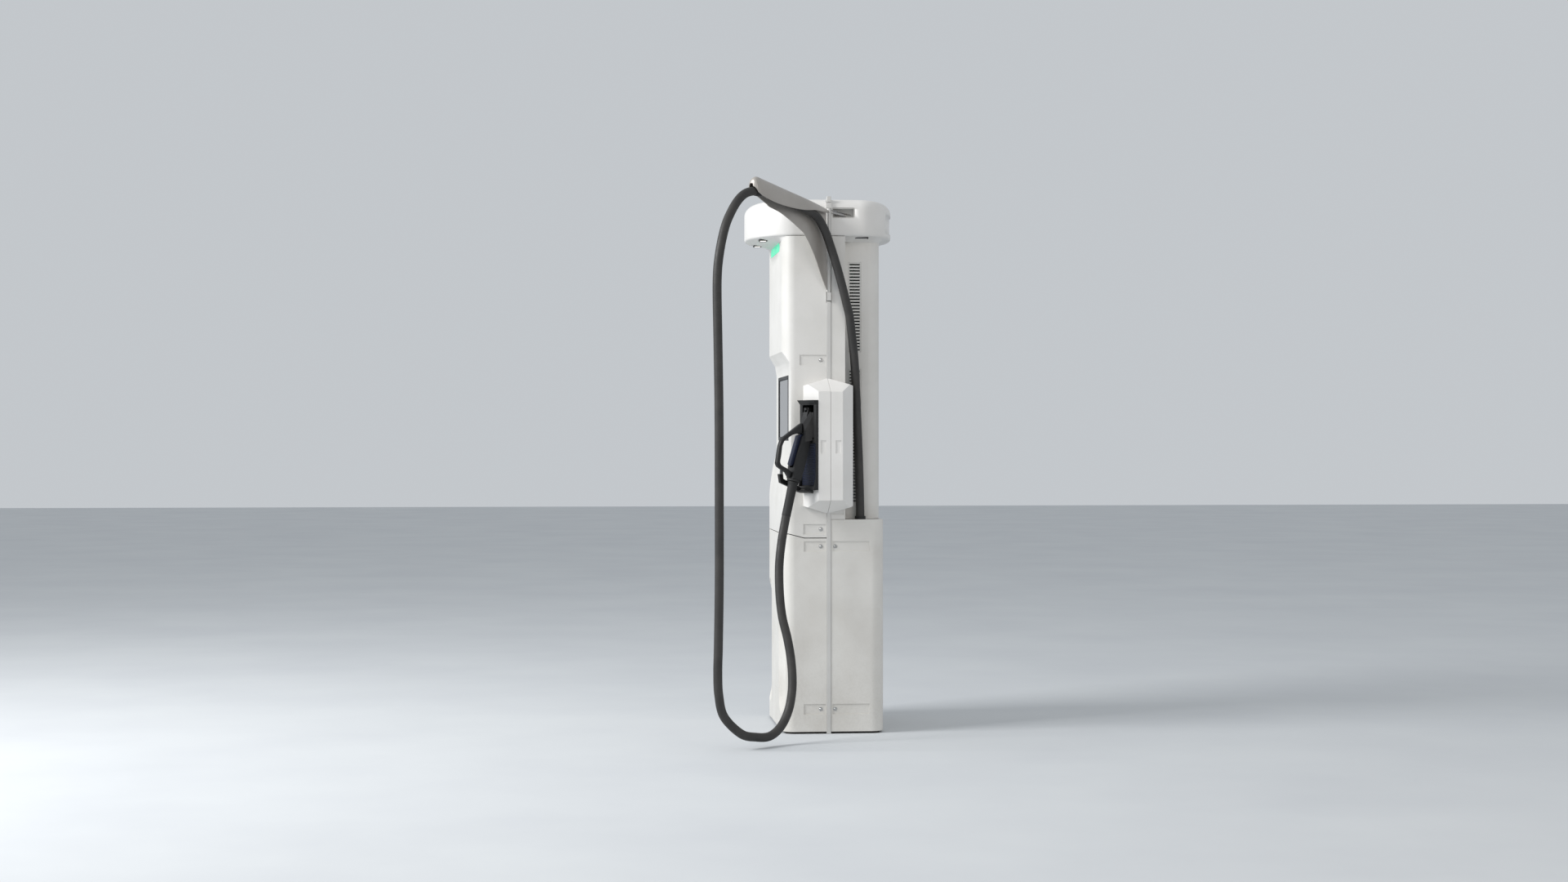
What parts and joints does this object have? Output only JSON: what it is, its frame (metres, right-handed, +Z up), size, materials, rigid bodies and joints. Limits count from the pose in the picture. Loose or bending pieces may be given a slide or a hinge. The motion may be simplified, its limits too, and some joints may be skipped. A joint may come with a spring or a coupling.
{
  "type": "electric vehicle charger",
  "caption": "Slim free-standing fast-charging post with a swing arm that carries a liquid-cooled cable and a holstered connector.",
  "frame": {"origin": "centre of the base anchor-bolt pattern, at floor level", "axes": "+Z up, front (screen side) -Y, cable and swing arm side +X"},
  "size_m": [1.1158, 0.7348, 2.04],
  "materials": {
    "anchor_steel": "hot-rolled plate, dark primer",
    "frame_steel": "galvanised",
    "strip_aluminium": "satin anodised",
    "cover_white": "fine powder coat",
    "head_white": "fine powder coat",
    "grille_white": "powder coat",
    "screw_steel": "stainless",
    "strip_light": "opal diffuser, lit green",
    "lamp_lens": "opal diffuser, lit",
    "bezel_black": "fine texture",
    "screen_glass": "gloss",
    "reader_black": "satin",
    "device_grey": "satin enamel",
    "device_steel": "folded sheet",
    "device_black": "moulded",
    "busbar_copper": "bare copper",
    "meter_grey": "moulded",
    "knob_red": "moulded",
    "tank_natural": "natural polyethylene",
    "fin_aluminium": "mill",
    "pod_white": "satin moulded",
    "insert_black": "fine texture",
    "arm_paint": "satin metallic",
    "arm_steel": "satin",
    "clamp_black": "lined saddle",
    "cable_jacket": "matt jacket",
    "boot_rubber": "soft",
    "connector_black": "fine texture",
    "contact_silver": "plated",
    "trigger_blue": "satin"
  },
  "bodies": {
    "root": {"base_plate": "anchor_steel", "frame_posts": "frame_steel", "top_plate": "frame_steel", "equipment_plate": "frame_steel", "left_seam_strip": "strip_aluminium", "right_seam_strip": "strip_aluminium", "top_seam_strip": "strip_aluminium", "lower_front_door": "cover_white", "upper_front_shell": "cover_white", "rear_base_shell": "cover_white", "upper_rear_shell": "cover_white", "front_head_cover": "head_white", "rear_head_cover": "head_white", "vent_grilles": "grille_white", "panel_screws": "screw_steel", "light_strip": "strip_light", "head_lamps": "lamp_lens", "display_bezel": "bezel_black", "display_module": "bezel_black", "display_glass": "screen_glass", "card_reader": "reader_black", "control_box": "device_grey", "power_supply": "device_steel", "dc_contactors": "device_black", "isolator_switch": "device_black", "coolant_pump": "device_black", "fan_frame": "device_black", "dc_busbars": "busbar_copper", "energy_meter": "meter_grey", "coolant_tank": "tank_natural", "radiator": "fin_aluminium", "pod_front_half": "pod_white", "pod_rear_half": "pod_white", "holster_insert": "insert_black", "holster_bracket": "insert_black", "cable_gland": "insert_black", "hinge_pin": "arm_steel", "upper_hinge_bracket": "arm_steel", "lower_hinge_bracket": "arm_steel", "charging_cable": "cable_jacket"},
    "arm": {"arm_barrel": "arm_steel", "arm_hood": "arm_paint", "arm_web": "arm_paint", "arm_tail": "arm_steel", "arm_cable_clamp": "clamp_black"},
    "connector": {"connector_housing": "connector_black", "connector_guard": "connector_black", "connector_nose": "connector_black", "contact_pins": "contact_silver", "connector_collar": "boot_rubber", "cable_boot": "boot_rubber"},
    "trigger": {"trigger": "trigger_blue"},
    "latch": {"latch_hook": "connector_black"},
    "upper_fan": {"upper_fan": "device_black"},
    "lower_fan": {"lower_fan": "device_black"},
    "isolator_knob": {"isolator_knob": "knob_red"}
  },
  "joints": [
    {"name": "arm_swing", "type": "hinge", "parent": "root", "child": "arm", "pos_m": [0.3, 0, 1.806], "axis": [0, 0, 1], "range_deg": [-10, 45], "stiffness_Nm_per_rad": 12, "deforming": ["charging_cable"]},
    {"name": "connector_pull", "type": "slide", "parent": "root", "child": "connector", "axis": [0.5201, -0.8541, 0], "range_m": [0, 0.06], "deforming": ["cable_boot", "charging_cable"]},
    {"name": "trigger_press", "type": "hinge", "parent": "connector", "child": "trigger", "pos_m": [0.38224, -0.1086, 1.11], "axis": [0.8541, 0.5201, 0], "range_deg": [0, 5], "stiffness_Nm_per_rad": 0.6},
    {"name": "latch_lift", "type": "hinge", "parent": "connector", "child": "latch", "pos_m": [0.36976, -0.0881, 1.212], "axis": [0.8541, 0.5201, 0], "range_deg": [0, 5]},
    {"name": "upper_fan_spin", "type": "hinge", "parent": "root", "child": "upper_fan", "pos_m": [0, 0.113, 1.48], "axis": [0, 1, 0], "continuous": true},
    {"name": "lower_fan_spin", "type": "hinge", "parent": "root", "child": "lower_fan", "pos_m": [0, 0.113, 1.16], "axis": [0, 1, 0], "continuous": true},
    {"name": "isolator_turn", "type": "hinge", "parent": "root", "child": "isolator_knob", "pos_m": [-0.005, -0.09, 0.4], "axis": [0, -1, 0], "range_deg": [0, 90]}
  ],
  "couplings": [
    {"joint": "latch_lift", "follows": "trigger_press", "ratio": 1}
  ]
}
